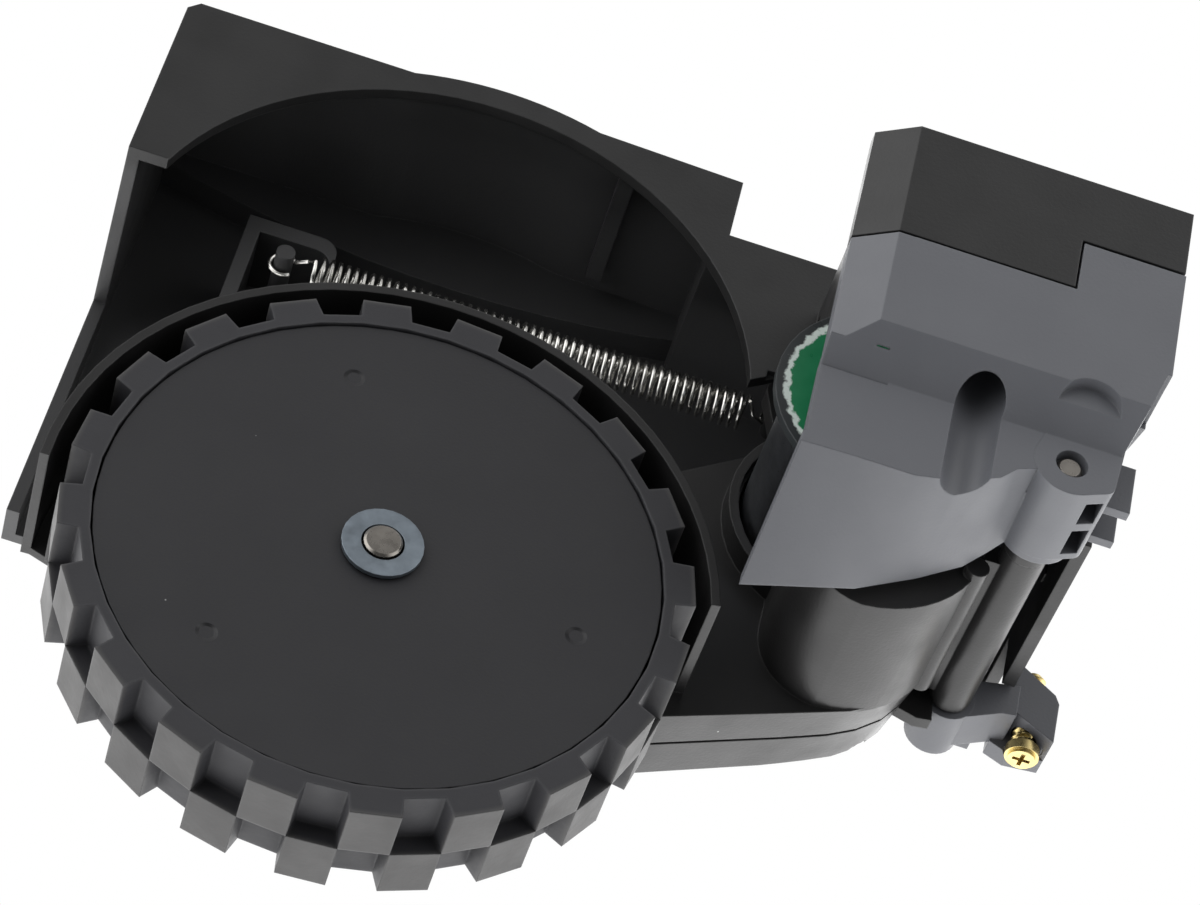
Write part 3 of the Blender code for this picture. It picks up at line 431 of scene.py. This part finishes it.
def dress(piece, finish):
    """Gives a piece its look, smooth faces and sharp edges."""
    piece.data.materials.clear()
    piece.data.materials.append(MATERIALS[finish])
    piece.data.polygons.foreach_set("use_smooth", [True] * len(piece.data.polygons))
    weld = piece.modifiers.new("weld", "WELD")
    weld.merge_threshold = WELD_REACH
    split = piece.modifiers.new("sharp_edges", "EDGE_SPLIT")
    split.split_angle = SHARP_ANGLE


# shapes in the part's own frame, in millimetres

# turns that extrude a flat outline along X, Y or Z; its corners are (y, z), (x, z) or (x, y)
AXIS_Y = Matrix(((1, 0, 0, 0), (0, 0, -1, 0), (0, 1, 0, 0), (0, 0, 0, 1)))
AXIS_X = Matrix(((0, 0, 1, 0), (1, 0, 0, 0), (0, 1, 0, 0), (0, 0, 0, 1)))
AXIS_Z = Matrix.Identity(4)


def arc(centre, radius, start, end, steps):
    """Points of an arc, both ends included, angles in degrees."""
    points = []
    for n in range(steps + 1):
        angle = math.radians(start + (end - start) * n / steps)
        points.append((centre[0] + radius * math.cos(angle), centre[1] + radius * math.sin(angle)))
    return points


def hull(circles):
    """Convex outline round a set of circles (centre, radius); nearly straight corners are left out."""
    steps = 32
    straight = 0.002
    points = []
    for centre, radius in circles:
        points += arc(centre, radius, 0, 360 - 360 / steps, steps - 1)
    points = sorted(set((round(x, 4), round(y, 4)) for x, y in points))

    def half(ordered):
        chain = []
        for point in ordered:
            while len(chain) > 1:
                ax, ay = chain[-2]
                bx, by = chain[-1]
                if (bx - ax) * (point[1] - ay) - (by - ay) * (point[0] - ax) > straight:
                    break
                chain.pop()
            chain.append(point)
        return chain[:-1]

    return half(points) + half(points[::-1])


def place(name, mesh, shift=(0.0, 0.0, 0.0)):
    """Puts a mesh of the part's own frame into the shared one."""
    mesh.transform(Matrix.Translation(at(*shift)))
    made = bpy.data.objects.new(name, mesh)
    scene.collection.objects.link(made)
    return made


def from_shape(name, shape):
    """A mesh with its faces turned outwards, from a shape that isn't used again."""
    bmesh.ops.recalc_face_normals(shape, faces=shape.faces)
    mesh = bpy.data.meshes.new(name)
    shape.to_mesh(mesh)
    shape.free()
    return mesh


def prism(name, outline, low, high, axis=AXIS_Y):
    """An outline extruded along an axis from low to high."""
    shape = bmesh.new()
    half = (high - low) * MM / 2
    rings = [[shape.verts.new((x * MM, y * MM, side)) for x, y in outline] for side in (-half, half)]
    shape.faces.new(rings[0])
    shape.faces.new(rings[1])
    for n in range(len(outline)):
        after = (n + 1) % len(outline)
        shape.faces.new((rings[0][n], rings[0][after], rings[1][after], rings[1][n]))
    mesh = from_shape(name, shape)
    mesh.transform(axis)
    middle = (axis @ Vector((0.0, 0.0, 1.0))) * (low + high) / 2
    if axis is AXIS_Y:
        middle = -middle
    return place(name, mesh, middle)


def box(name, low, high):
    return prism(name, [(low[0], low[1]), (high[0], low[1]), (high[0], high[1]), (low[0], high[1])],
                 low[2], high[2], AXIS_Z)


def cylinder(name, centre, radius, low, high, steps=32, axis=AXIS_Y):
    return prism(name, arc(centre, radius, 0, 360 - 360 / steps, steps - 1), low, high, axis)


def skin(name, shape, rings):
    """Closed body through rings that have the same number of corners."""
    for lower, upper in zip(rings, rings[1:]):
        for n in range(len(lower)):
            after = (n + 1) % len(lower)
            shape.faces.new((lower[n], lower[after], upper[after], upper[n]))
    shape.faces.new(rings[0][::-1])
    shape.faces.new(rings[-1])
    return place(name, from_shape(name, shape))


def ruled(name, sections):
    """Closed body through four-cornered sections."""
    shape = bmesh.new()
    rings = [[shape.verts.new([part * MM for part in spot]) for spot in ring] for ring in sections]
    return skin(name, shape, rings)


def boolean(target, tool, operation):
    step = target.modifiers.new(tool.name, "BOOLEAN")
    step.operation = operation
    step.solver = "EXACT"
    step.object = tool
    tool.hide_render = True


def cut(target, tool):
    boolean(target, tool, "DIFFERENCE")


def join(target, tool):
    boolean(target, tool, "UNION")


def settle(target):
    """Leaves the shape that the joins and cuts make, without their tools."""
    tools = [step.object for step in target.modifiers]
    finished = target.evaluated_get(bpy.context.evaluated_depsgraph_get())
    made = bpy.data.meshes.new_from_object(finished)
    target.modifiers.clear()
    target.data = made
    for tool in tools:
        bpy.data.objects.remove(tool, do_unlink=True)
    return target


# housing

# the arch is centred on the raised wheel's axle
ARCH = (-2.02, 42.42)
ARCH_RADIUS = 39.0
PLATE_FRONT = 10.0
HOUSING_WALL = 1.6
HOUSING_BACK = 41.0
LEDGE_Y = 35.2
TOWER_FRONT = -24.6
TOWER_LEFT = 40.2
TOWER_RIGHT = 78.6
TOWER_TOP = 64.6
TOWER_CORNER_Y = -21.4
DRIVER_BORE = (58.5, -20.5)
SCREW_FLOOR = 43.4
HOUSING_POST = (-22.4, 56.6)
ARM_POST = (41.6, 56.8)


def housing_outline(inset):
    """Outer outline of the housing in X and Z; inset gives the inside."""
    top, left, right = 82.9 - inset, -43.9 + inset, 77.6 - inset
    dome = ARCH_RADIUS + 3.3 - inset
    half = math.degrees(math.acos((top - ARCH[1]) / dome))
    points = [(left, 16.5), (left, top - 1.4), (left + 1.4, top)]
    points += arc(ARCH, dome, 90 + half, 90 - half, 12)
    points += [(29.4 - inset, top - 0.6), (29.4 - inset, 72.6 - inset), (right, 72.6 - inset), (right, 35.0),
               (66.0, 33.0), (36.0, 16.5)]
    return points


def tower_outline(inset):
    """Tower section in X and Y, with its bevelled front corner."""
    left = TOWER_LEFT + inset
    return [(left, TOWER_CORNER_Y + inset * 0.5), (45.0 + inset * 0.4, TOWER_FRONT + inset),
            (TOWER_RIGHT - inset, TOWER_FRONT + inset), (TOWER_RIGHT - inset, PLATE_FRONT + 1.0),
            (left + 2.3, PLATE_FRONT + 1.0), (left + 2.3, -19.5 + inset), (left, -19.5 + inset)]


def ledge_curve(left, right, lift):
    """Lower edge of the step behind the wheel arch, from left to right."""
    centre, radius = (-2.0, 204.8), 132.0 - lift
    start = 360 - math.degrees(math.acos((left - centre[0]) / radius))
    end = 360 - math.degrees(math.acos((right - centre[0]) / radius))
    return arc(centre, radius, start, end, 12)


def make_housing():
    """The housing with its deep ledge, the rib under its roof and the hood over the spring's end."""
    shell = prism("housing_moulding", housing_outline(0.0), PLATE_FRONT, HOUSING_BACK)
    inside = [(x, z - 30.0) if z < 36.0 else (x, z) for x, z in housing_outline(HOUSING_WALL)]
    cut(shell, prism("inside", inside, PLATE_FRONT + HOUSING_WALL, HOUSING_BACK - HOUSING_WALL))
    join(shell, prism("tower", tower_outline(0.0), 46.9, TOWER_TOP, AXIS_Z))
    cut(shell, prism("tower_inside", tower_outline(HOUSING_WALL), 40.0, TOWER_TOP - HOUSING_WALL, AXIS_Z))
    cut(shell, box("tower_seam", (66.05, -30.0, 40.0), (90.0, PLATE_FRONT + 0.8, 54.6)))
    cut(shell, box("tower_lead_way", (38.0, -18.0, 40.0), (50.0, PLATE_FRONT + 0.8, 52.5)))
    join(shell, box("right_wall", (76.0, -3.6, 28.6), (77.6, 24.4, 66.0)))

    step = [(-42.9, 81.9)] + ledge_curve(-42.9, 28.4, 0.0) + [(28.4, 81.9)]
    step += arc(ARCH, ARCH_RADIUS + 2.3, 73, 107, 8)
    join(shell, prism("ledge", step, LEDGE_Y, HOUSING_BACK - 0.8))
    pocket = [(-33.0, 79.6)] + ledge_curve(-33.0, 25.8, HOUSING_WALL) + [(25.8, 79.6)]
    cut(shell, prism("ledge_pocket", pocket, LEDGE_Y + HOUSING_WALL, HOUSING_BACK + 2.0))
    join(shell, box("roof_rib", (14.3, PLATE_FRONT + 1.0, 78.6), (16.4, 31.5, 82.0)))

    cut(shell, cylinder("arch", ARCH, ARCH_RADIUS, PLATE_FRONT - 2.0, PLATE_FRONT + 3.0, 80))
    below = [(-40.9, 42.5), (-40.9, -5.0), (75.8, -5.0), (75.8, 62.2), (42.0, 62.2), (39.5, 52.5),
             (36.0, 50.0), (36.0, 42.5)]
    cut(shell, prism("plate_lower_edge", below, PLATE_FRONT - 2.0, PLATE_FRONT + HOUSING_WALL + 0.6))
    corner = [(PLATE_FRONT - 2.0, 55.7), (LEDGE_Y, 52.2), (LEDGE_Y, 0.0), (PLATE_FRONT - 2.0, 0.0)]
    cut(shell, prism("left_wall_front", corner, -60.0, -38.9, AXIS_X))
    cut(shell, box("right_wall_rear", (75.0, 24.6, 0.0), (90.0, HOUSING_BACK - HOUSING_WALL - 0.4, 36.0)))
    cut(shell, box("right_wall_lower", (75.0, 4.0, 0.0), (90.0, 30.0, 28.6)))

    hood = [(-28.5, 48.0), (-16.6, 48.0)] + arc((-19.0, 62.1), 2.4, 0, 90, 6) + [(-28.5, 64.5)]
    join(shell, prism("spring_hood", hood, 24.5, HOUSING_BACK - 0.8))
    room = [(-26.6, 50.0), (-10.0, 50.0), (-10.0, 60.6)] + arc((-19.3, 59.9), 2.3, 17, 90, 5)
    cut(shell, prism("spring_pocket", room + [(-26.6, 62.2)], 22.0, 34.8))
    join(shell, cylinder("spring_post", HOUSING_POST, 1.2, 20.6, 35.5, 16))
    return settle(shell)


# pivot bracket

LOWER_FACE_Y = -20.0
EAR_REAR_Y = -7.3
BRACKET_WALL = 2.2
DRIVER_BORE_RADIUS = 2.8
SLEEVE_RADIUS = 4.3
PIVOT = (70.0, 24.6)
EAR_RADIUS = 4.4
EAR_REAR_RADIUS = 4.38
PIN_BORE_RADIUS = 1.7
LUG_SCREW = (81.0, 29.5)


def tongue_sections():
    """Sheet from the lower face back over the arm's drum, from left to right."""
    front = [(39.9, 15.6), (46.0, 15.8), (53.0, 15.8), (58.0, 17.0), (62.4, 19.4), (64.1, 21.4), (66.9, 22.6)]
    rear = [(38.8, 6.8), (45.0, 9.0), (51.5, 11.3), (58.1, 15.5), (63.0, 19.0), (65.2, 20.9), (66.9, 22.1)]
    depths = [-4.0] * 4 + [-4.4, -5.8, EAR_REAR_Y - 0.3]
    return [[(fx, LOWER_FACE_Y, fz), (rx, depth, rz), (rx, depth, rz + 1.4), (fx, LOWER_FACE_Y, fz + 1.6)]
            for (fx, fz), (rx, rz), depth in zip(front, rear, depths)]


def under_tongue():
    """The room below the middle of the tongue's front strip, to trim the lower face."""
    trimmed = []
    for low, back, top, high in tongue_sections():
        share = 4.5 / (back[1] - low[1])
        x = low[0] + (back[0] - low[0]) * share
        z = low[2] + 0.8 + (back[2] - low[2]) * share
        trimmed.append([(low[0], LOWER_FACE_Y - 2.0, 5.0), (x, LOWER_FACE_Y + 4.5, 5.0),
                        (x, LOWER_FACE_Y + 4.5, z), (low[0], LOWER_FACE_Y - 2.0, low[2] + 0.8)])
    return trimmed


def make_bracket():
    """The bracket with its closed driver sleeve, curved tongue, ears, side tabs and lug."""
    wall = [(TOWER_FRONT, 54.2), (TOWER_FRONT, 32.4), (LOWER_FACE_Y, 27.8), (LOWER_FACE_Y, 14.8),
            (LOWER_FACE_Y + BRACKET_WALL, 14.8), (LOWER_FACE_Y + BRACKET_WALL, 28.6),
            (TOWER_FRONT + BRACKET_WALL, 33.2), (TOWER_FRONT + BRACKET_WALL, 54.2)]
    body = prism("bracket_moulding", wall, TOWER_LEFT, 78.7, AXIS_X)
    side = [(TOWER_FRONT + 0.3, 54.2), (TOWER_FRONT + 0.3, 34.0), (-6.0, 41.0), (-6.0, 54.2)]
    join(body, prism("side", side, 77.8, 78.68, AXIS_X))
    sleeve = arc(DRIVER_BORE, SLEEVE_RADIUS, 8, 172, 14)
    join(body, prism("driver_sleeve", sleeve, 10.0, SCREW_FLOOR + 0.6, AXIS_Z))
    cut(body, ruled("under_tongue", under_tongue()))
    join(body, ruled("tongue", tongue_sections()))
    seam = [(30.0, 46.6), (66.35, 46.6), (66.35, 60.0), (30.0, 60.0)]
    cut(body, prism("seam_notch", seam, TOWER_FRONT - 1.0, 0.0))
    corner = [(38.0, -28.0), (47.0, -28.0), (47.0, -19.0), (38.0, -19.0)]
    cut(body, prism("corner_room", corner, 30.3, 60.0, AXIS_Z))
    bevel = [(TOWER_LEFT, -18.9), (TOWER_LEFT, TOWER_CORNER_Y), (45.0, TOWER_FRONT), (47.3, TOWER_FRONT),
             (47.3, TOWER_FRONT + 2.0), (45.6, TOWER_FRONT + 2.0), (42.2, -20.4), (42.2, -18.9)]
    join(body, prism("corner_wall", bevel, 28.4, 46.55, AXIS_Z))
    under = [(-28.0, 35.79), (LOWER_FACE_Y + 0.3, 27.49), (-28.0, 26.0)]
    cut(body, prism("corner_foot", under, 30.0, 48.0, AXIS_X))
    right = [(66.2, 4.0), (82.0, 4.0), (82.0, 38.0), (78.2, 38.0), (76.8, 32.4), (75.5, 28.0), (75.0, 26.0),
             (66.2, 24.0)]
    cut(body, prism("lower_right_edge", right, TOWER_FRONT - 3.0, LOWER_FACE_Y + 4.0))

    ear = hull([(PIVOT, EAR_RADIUS), ((73.8, 23.2), 1.5), ((72.0, 32.0), 4.0), ((74.9, 33.0), 1.0)])
    join(body, prism("outer_ear_block", ear, LOWER_FACE_Y - 0.06, -8.2))
    join(body, cylinder("outer_ear", PIVOT, EAR_REAR_RADIUS, -12.0, EAR_REAR_Y, 24))
    for low, high in ((-18.3, -14.7), (-13.4, -9.2)):
        cut(body, box("ear_pocket", (72.7, low, 16.0), (74.6, high, 26.5)))
    cut(body, cylinder("ear_relief", (70.3, 29.9), 3.8, TOWER_FRONT - 1.4, TOWER_FRONT + 1.7))
    for low, high in ((-15.2, -13.9), (-9.9, -8.7)):
        join(body, box("side_tab", (74.6, low, 24.6), (78.5, high, 31.4)))
    join(body, box("lap", (63.2, TOWER_FRONT + 1.9, 35.1), (75.2, TOWER_FRONT + 3.4, 61.5)))
    join(body, box("lap_lip", (47.8, TOWER_FRONT + 2.0, 38.0), (63.6, TOWER_FRONT + 3.3, 49.5)))
    spine = [(TOWER_FRONT + 2.3, 60.2), (33.2, 60.2), (33.2, 29.4), (30.6, 29.4), (30.6, 25.8),
             (35.0, 25.8), (35.0, 61.8), (TOWER_FRONT + 2.3, 61.8)]
    join(body, prism("rear_spine", spine, 68.6, 75.4, AXIS_X))
    join(body, cylinder("inner_ear", PIVOT, 3.3, 25.0, 32.4))
    web = [(70.0, 21.6), (72.8, 22.6), (76.8, 24.7), (78.6, 25.0), (78.6, 29.6), (70.0, 27.6)]
    join(body, prism("inner_ear_web", web, 25.02, 31.1))
    lug = [(78.2, 26.9), (83.9, 23.9), (83.9, 29.8), (83.3, 31.0), (78.7, 34.0), (78.2, 33.4)]
    join(body, prism("lug", lug, 26.4, 31.0))
    rear = [(77.0, 24.4), (79.5, 23.4), (83.9, 23.9), (83.9, 29.8), (83.3, 31.0), (78.7, 34.0), (77.0, 31.6)]
    join(body, prism("lug_rear", rear, 30.4, 33.0))
    join(body, box("screw_floor", (52.0, TOWER_FRONT + 1.5, SCREW_FLOOR - 0.2),
                   (62.8, -16.2, SCREW_FLOOR + 2.0)))

    cut(body, cylinder("driver_bore", DRIVER_BORE, DRIVER_BORE_RADIUS, 8.0, SCREW_FLOOR, 28, AXIS_Z))
    cut(body, cylinder("screw_hole", DRIVER_BORE, 1.5, 42.0, 50.0, 16, AXIS_Z))
    cut(body, cylinder("pin_bore", PIVOT, PIN_BORE_RADIUS, LOWER_FACE_Y - 2.0, 31.6, 24))
    cut(body, cylinder("pin_mouth", PIVOT, 1.9, LOWER_FACE_Y - 2.0, LOWER_FACE_Y + 1.5, 24))
    cut(body, cylinder("lug_screw_hole", LUG_SCREW, 1.7, 15.0, 40.0, 16, AXIS_Z))
    cut(body, cylinder("lug_screw_seat", LUG_SCREW, 2.4, 15.0, 24.3, 20, AXIS_Z))
    return settle(body)


def make_lug_screw():
    """Pan head with a cross recess, over a rolled thread."""
    around = 24
    pitch = 0.9
    core = 1.1
    thread = 0.5
    tip = 35.7
    shape = bmesh.new()
    rings = []
    for z in [23.9 + 0.1 * n for n in range(118)]:
        ring = []
        for n in range(around):
            turn = (z / pitch - n / around) % 1.0
            radius = core + thread * max(0.0, 1.0 - abs(turn - 0.5) * 3.0)
            radius = min(radius, 0.3 + (tip - z) * 1.4)
            angle = 2 * math.pi * n / around
            ring.append(shape.verts.new(((LUG_SCREW[0] + radius * math.cos(angle)) * MM,
                                         (LUG_SCREW[1] + radius * math.sin(angle)) * MM, z * MM)))
        rings.append(ring)
    screw = skin("captive_screw", shape, rings)
    join(screw, cylinder("head", LUG_SCREW, 2.1, 22.7, 24.0, 32, AXIS_Z))
    join(screw, cylinder("head_crown", LUG_SCREW, 1.7, 22.3, 22.8, 32, AXIS_Z))
    x, y = LUG_SCREW
    cut(screw, box("recess_across", (x - 1.1, y - 0.25, 22.0), (x + 1.1, y + 0.25, 23.2)))
    cut(screw, box("recess_along", (x - 0.25, y - 1.1, 22.0), (x + 0.25, y + 1.1, 23.2)))
    return settle(screw)


def make_barrel_front():
    """The ring that shows at the pivot barrel's front, behind the bracket's ear."""
    ring = cylinder("barrel_front", PIVOT, 2.65, EAR_REAR_Y + 0.4, -4.25, 32)
    cut(ring, cylinder("bore", PIVOT, 1.75, EAR_REAR_Y - 1.0, -4.0, 24))
    return settle(ring)


def make_cover_stop():
    """A stop on the gearbox cover, beside the pivot."""
    outline = [(59.0, 22.4), (62.5, 20.6), (66.5, 19.5), (68.4, 19.8), (67.9, 24.8), (59.0, 26.0)]
    return prism("cover_stop", outline, 24.4, 26.2)


# spring

SPRING_Y = 23.0
SPRING_Z = 56.7
SPRING_SPAN = (-18.5, 38.0)
SPRING_TURNS = 54
# right ends of the lengths that the coils are made in
SPRING_ENDS = (-8.0, 2.0, 12.0, 21.0, 29.0, 35.0, 38.0)
WIRE_RADIUS = 0.28
COIL_RADIUS = 2.2
EYE_RADIUS = 1.65
EYE_STEPS = 24
LIFT = math.radians(33.0)
# about the slope of the line between the spring's two posts at full lift
RAISED_SLOPE = 0.1208


def spring_line():
    """The wire's middle line: an eye round each post and close coils between them."""
    per_turn = 18
    points = [(x, SPRING_Y, z) for x, z in arc(HOUSING_POST, EYE_RADIUS, -50, -325, EYE_STEPS)]
    start, end = SPRING_SPAN
    points.append((start - 0.9, SPRING_Y - 0.9, SPRING_Z + 0.9))
    for n in range(SPRING_TURNS * per_turn + 1):
        angle = 2 * math.pi * n / per_turn + math.pi
        points.append((start + (end - start) * n / (SPRING_TURNS * per_turn),
                       SPRING_Y + COIL_RADIUS * math.cos(angle), SPRING_Z + COIL_RADIUS * math.sin(angle)))
    points.append((end + 0.9, SPRING_Y - 0.9, SPRING_Z - 0.9))
    return points + [(x, SPRING_Y, z) for x, z in arc(ARM_POST, EYE_RADIUS, 215, -60, EYE_STEPS)]


def wire(name, points):
    """A round wire along points; each ring takes its heading from the last, so it doesn't twist."""
    sides = 8
    shape = bmesh.new()
    spots = [Vector(p) * MM for p in points]
    rings = []
    side = None
    for n, spot in enumerate(spots):
        along = (spots[min(n + 1, len(spots) - 1)] - spots[max(n - 1, 0)]).normalized()
        if side is None:
            side = along.orthogonal().normalized()
        side = (side - along * side.dot(along)).normalized()
        other = along.cross(side)
        rings.append([shape.verts.new(spot + (side * math.cos(2 * math.pi * k / sides)
                                              + other * math.sin(2 * math.pi * k / sides))
                                      * WIRE_RADIUS * MM)
                      for k in range(sides)])
    return skin(name, shape, rings)


def arm_share(x):
    """How far a coil at x follows the arm, so that the raised spring's middle stays on a line."""
    reach, rise = x - PIVOT[0], SPRING_Z - PIVOT[1]
    across = reach * (math.cos(LIFT) - 1) + rise * math.sin(LIFT)
    up_by = -reach * math.sin(LIFT) + rise * (math.cos(LIFT) - 1)
    share = RAISED_SLOPE * (x - HOUSING_POST[0]) / (up_by - RAISED_SLOPE * across)
    return min(1.0, max(0.0, share))


def bend_ends(left, right, share_left, share_right):
    """Where a smooth bend starts and ends that has these shares of the arm's motion at left and right.

    Each share is turned into its place in the bend by the inverse of a smoothstep."""
    low, high = (0.5 - math.sin(math.asin(1 - 2 * share) / 3) for share in (share_left, share_right))
    reach = (right - left) / (high - low)
    start = left - low * reach
    return at(start, SPRING_Y, SPRING_Z), at(start + reach, SPRING_Y, SPRING_Z)


def make_spring():
    """The housing's eye, and lengths up to the arm's eye, each with the ends of its bend."""
    line = spring_line()
    eye_end = EYE_STEPS + 1
    first = eye_end
    share = 0.0
    made = []
    for n, right in enumerate(SPRING_ENDS):
        last = first
        while line[last][0] < right - 0.01:
            last += 1
        after = arm_share(line[last][0])
        piece = wire("spring_length_%d" % (n + 1), line[first:last + 1])
        made.append((piece, *bend_ends(line[first][0], line[last][0], share, after)))
        first, share = last, after
    # the tail takes up the rest, so that the eye keeps its shape round the arm's post
    tail = bend_ends(line[first][0], ARM_POST[0] - EYE_RADIUS, share, 1.0)
    made.append((wire("spring_eye_arm", line[first:]), *tail))
    return wire("spring_eye_housing", line[:eye_end + 1]), made


# assembly


def ride(piece, body, finish, *stands_for):
    """Dresses a piece, lets it follow a body and hides the solids that it stands for."""
    dress(piece, finish)
    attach(piece, body)
    if stands_for:
        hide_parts(*stands_for)


for name, node in nodes.items():
    dress(node, FINISHES[name])
ride(make_housing(), "housing", "housing", "housing")
ride(make_bracket(), "housing", "bracket", "pivot_bracket")
ride(make_lug_screw(), "housing", "brass", "lug_screw")
ride(make_barrel_front(), "arm", "arm")
ride(make_cover_stop(), "arm", "arm")
housing_eye, lengths = make_spring()
ride(housing_eye, "housing", "spring", "extension_spring")
make_world()
make_camera()

scene.view_settings.view_transform = "Standard"
scene.view_settings.look = "None"
scene.view_settings.exposure = 0.0
scene.view_settings.gamma = 1.0

for piece, begin, finish in lengths:
    dress(piece, "spring")
    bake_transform(piece)
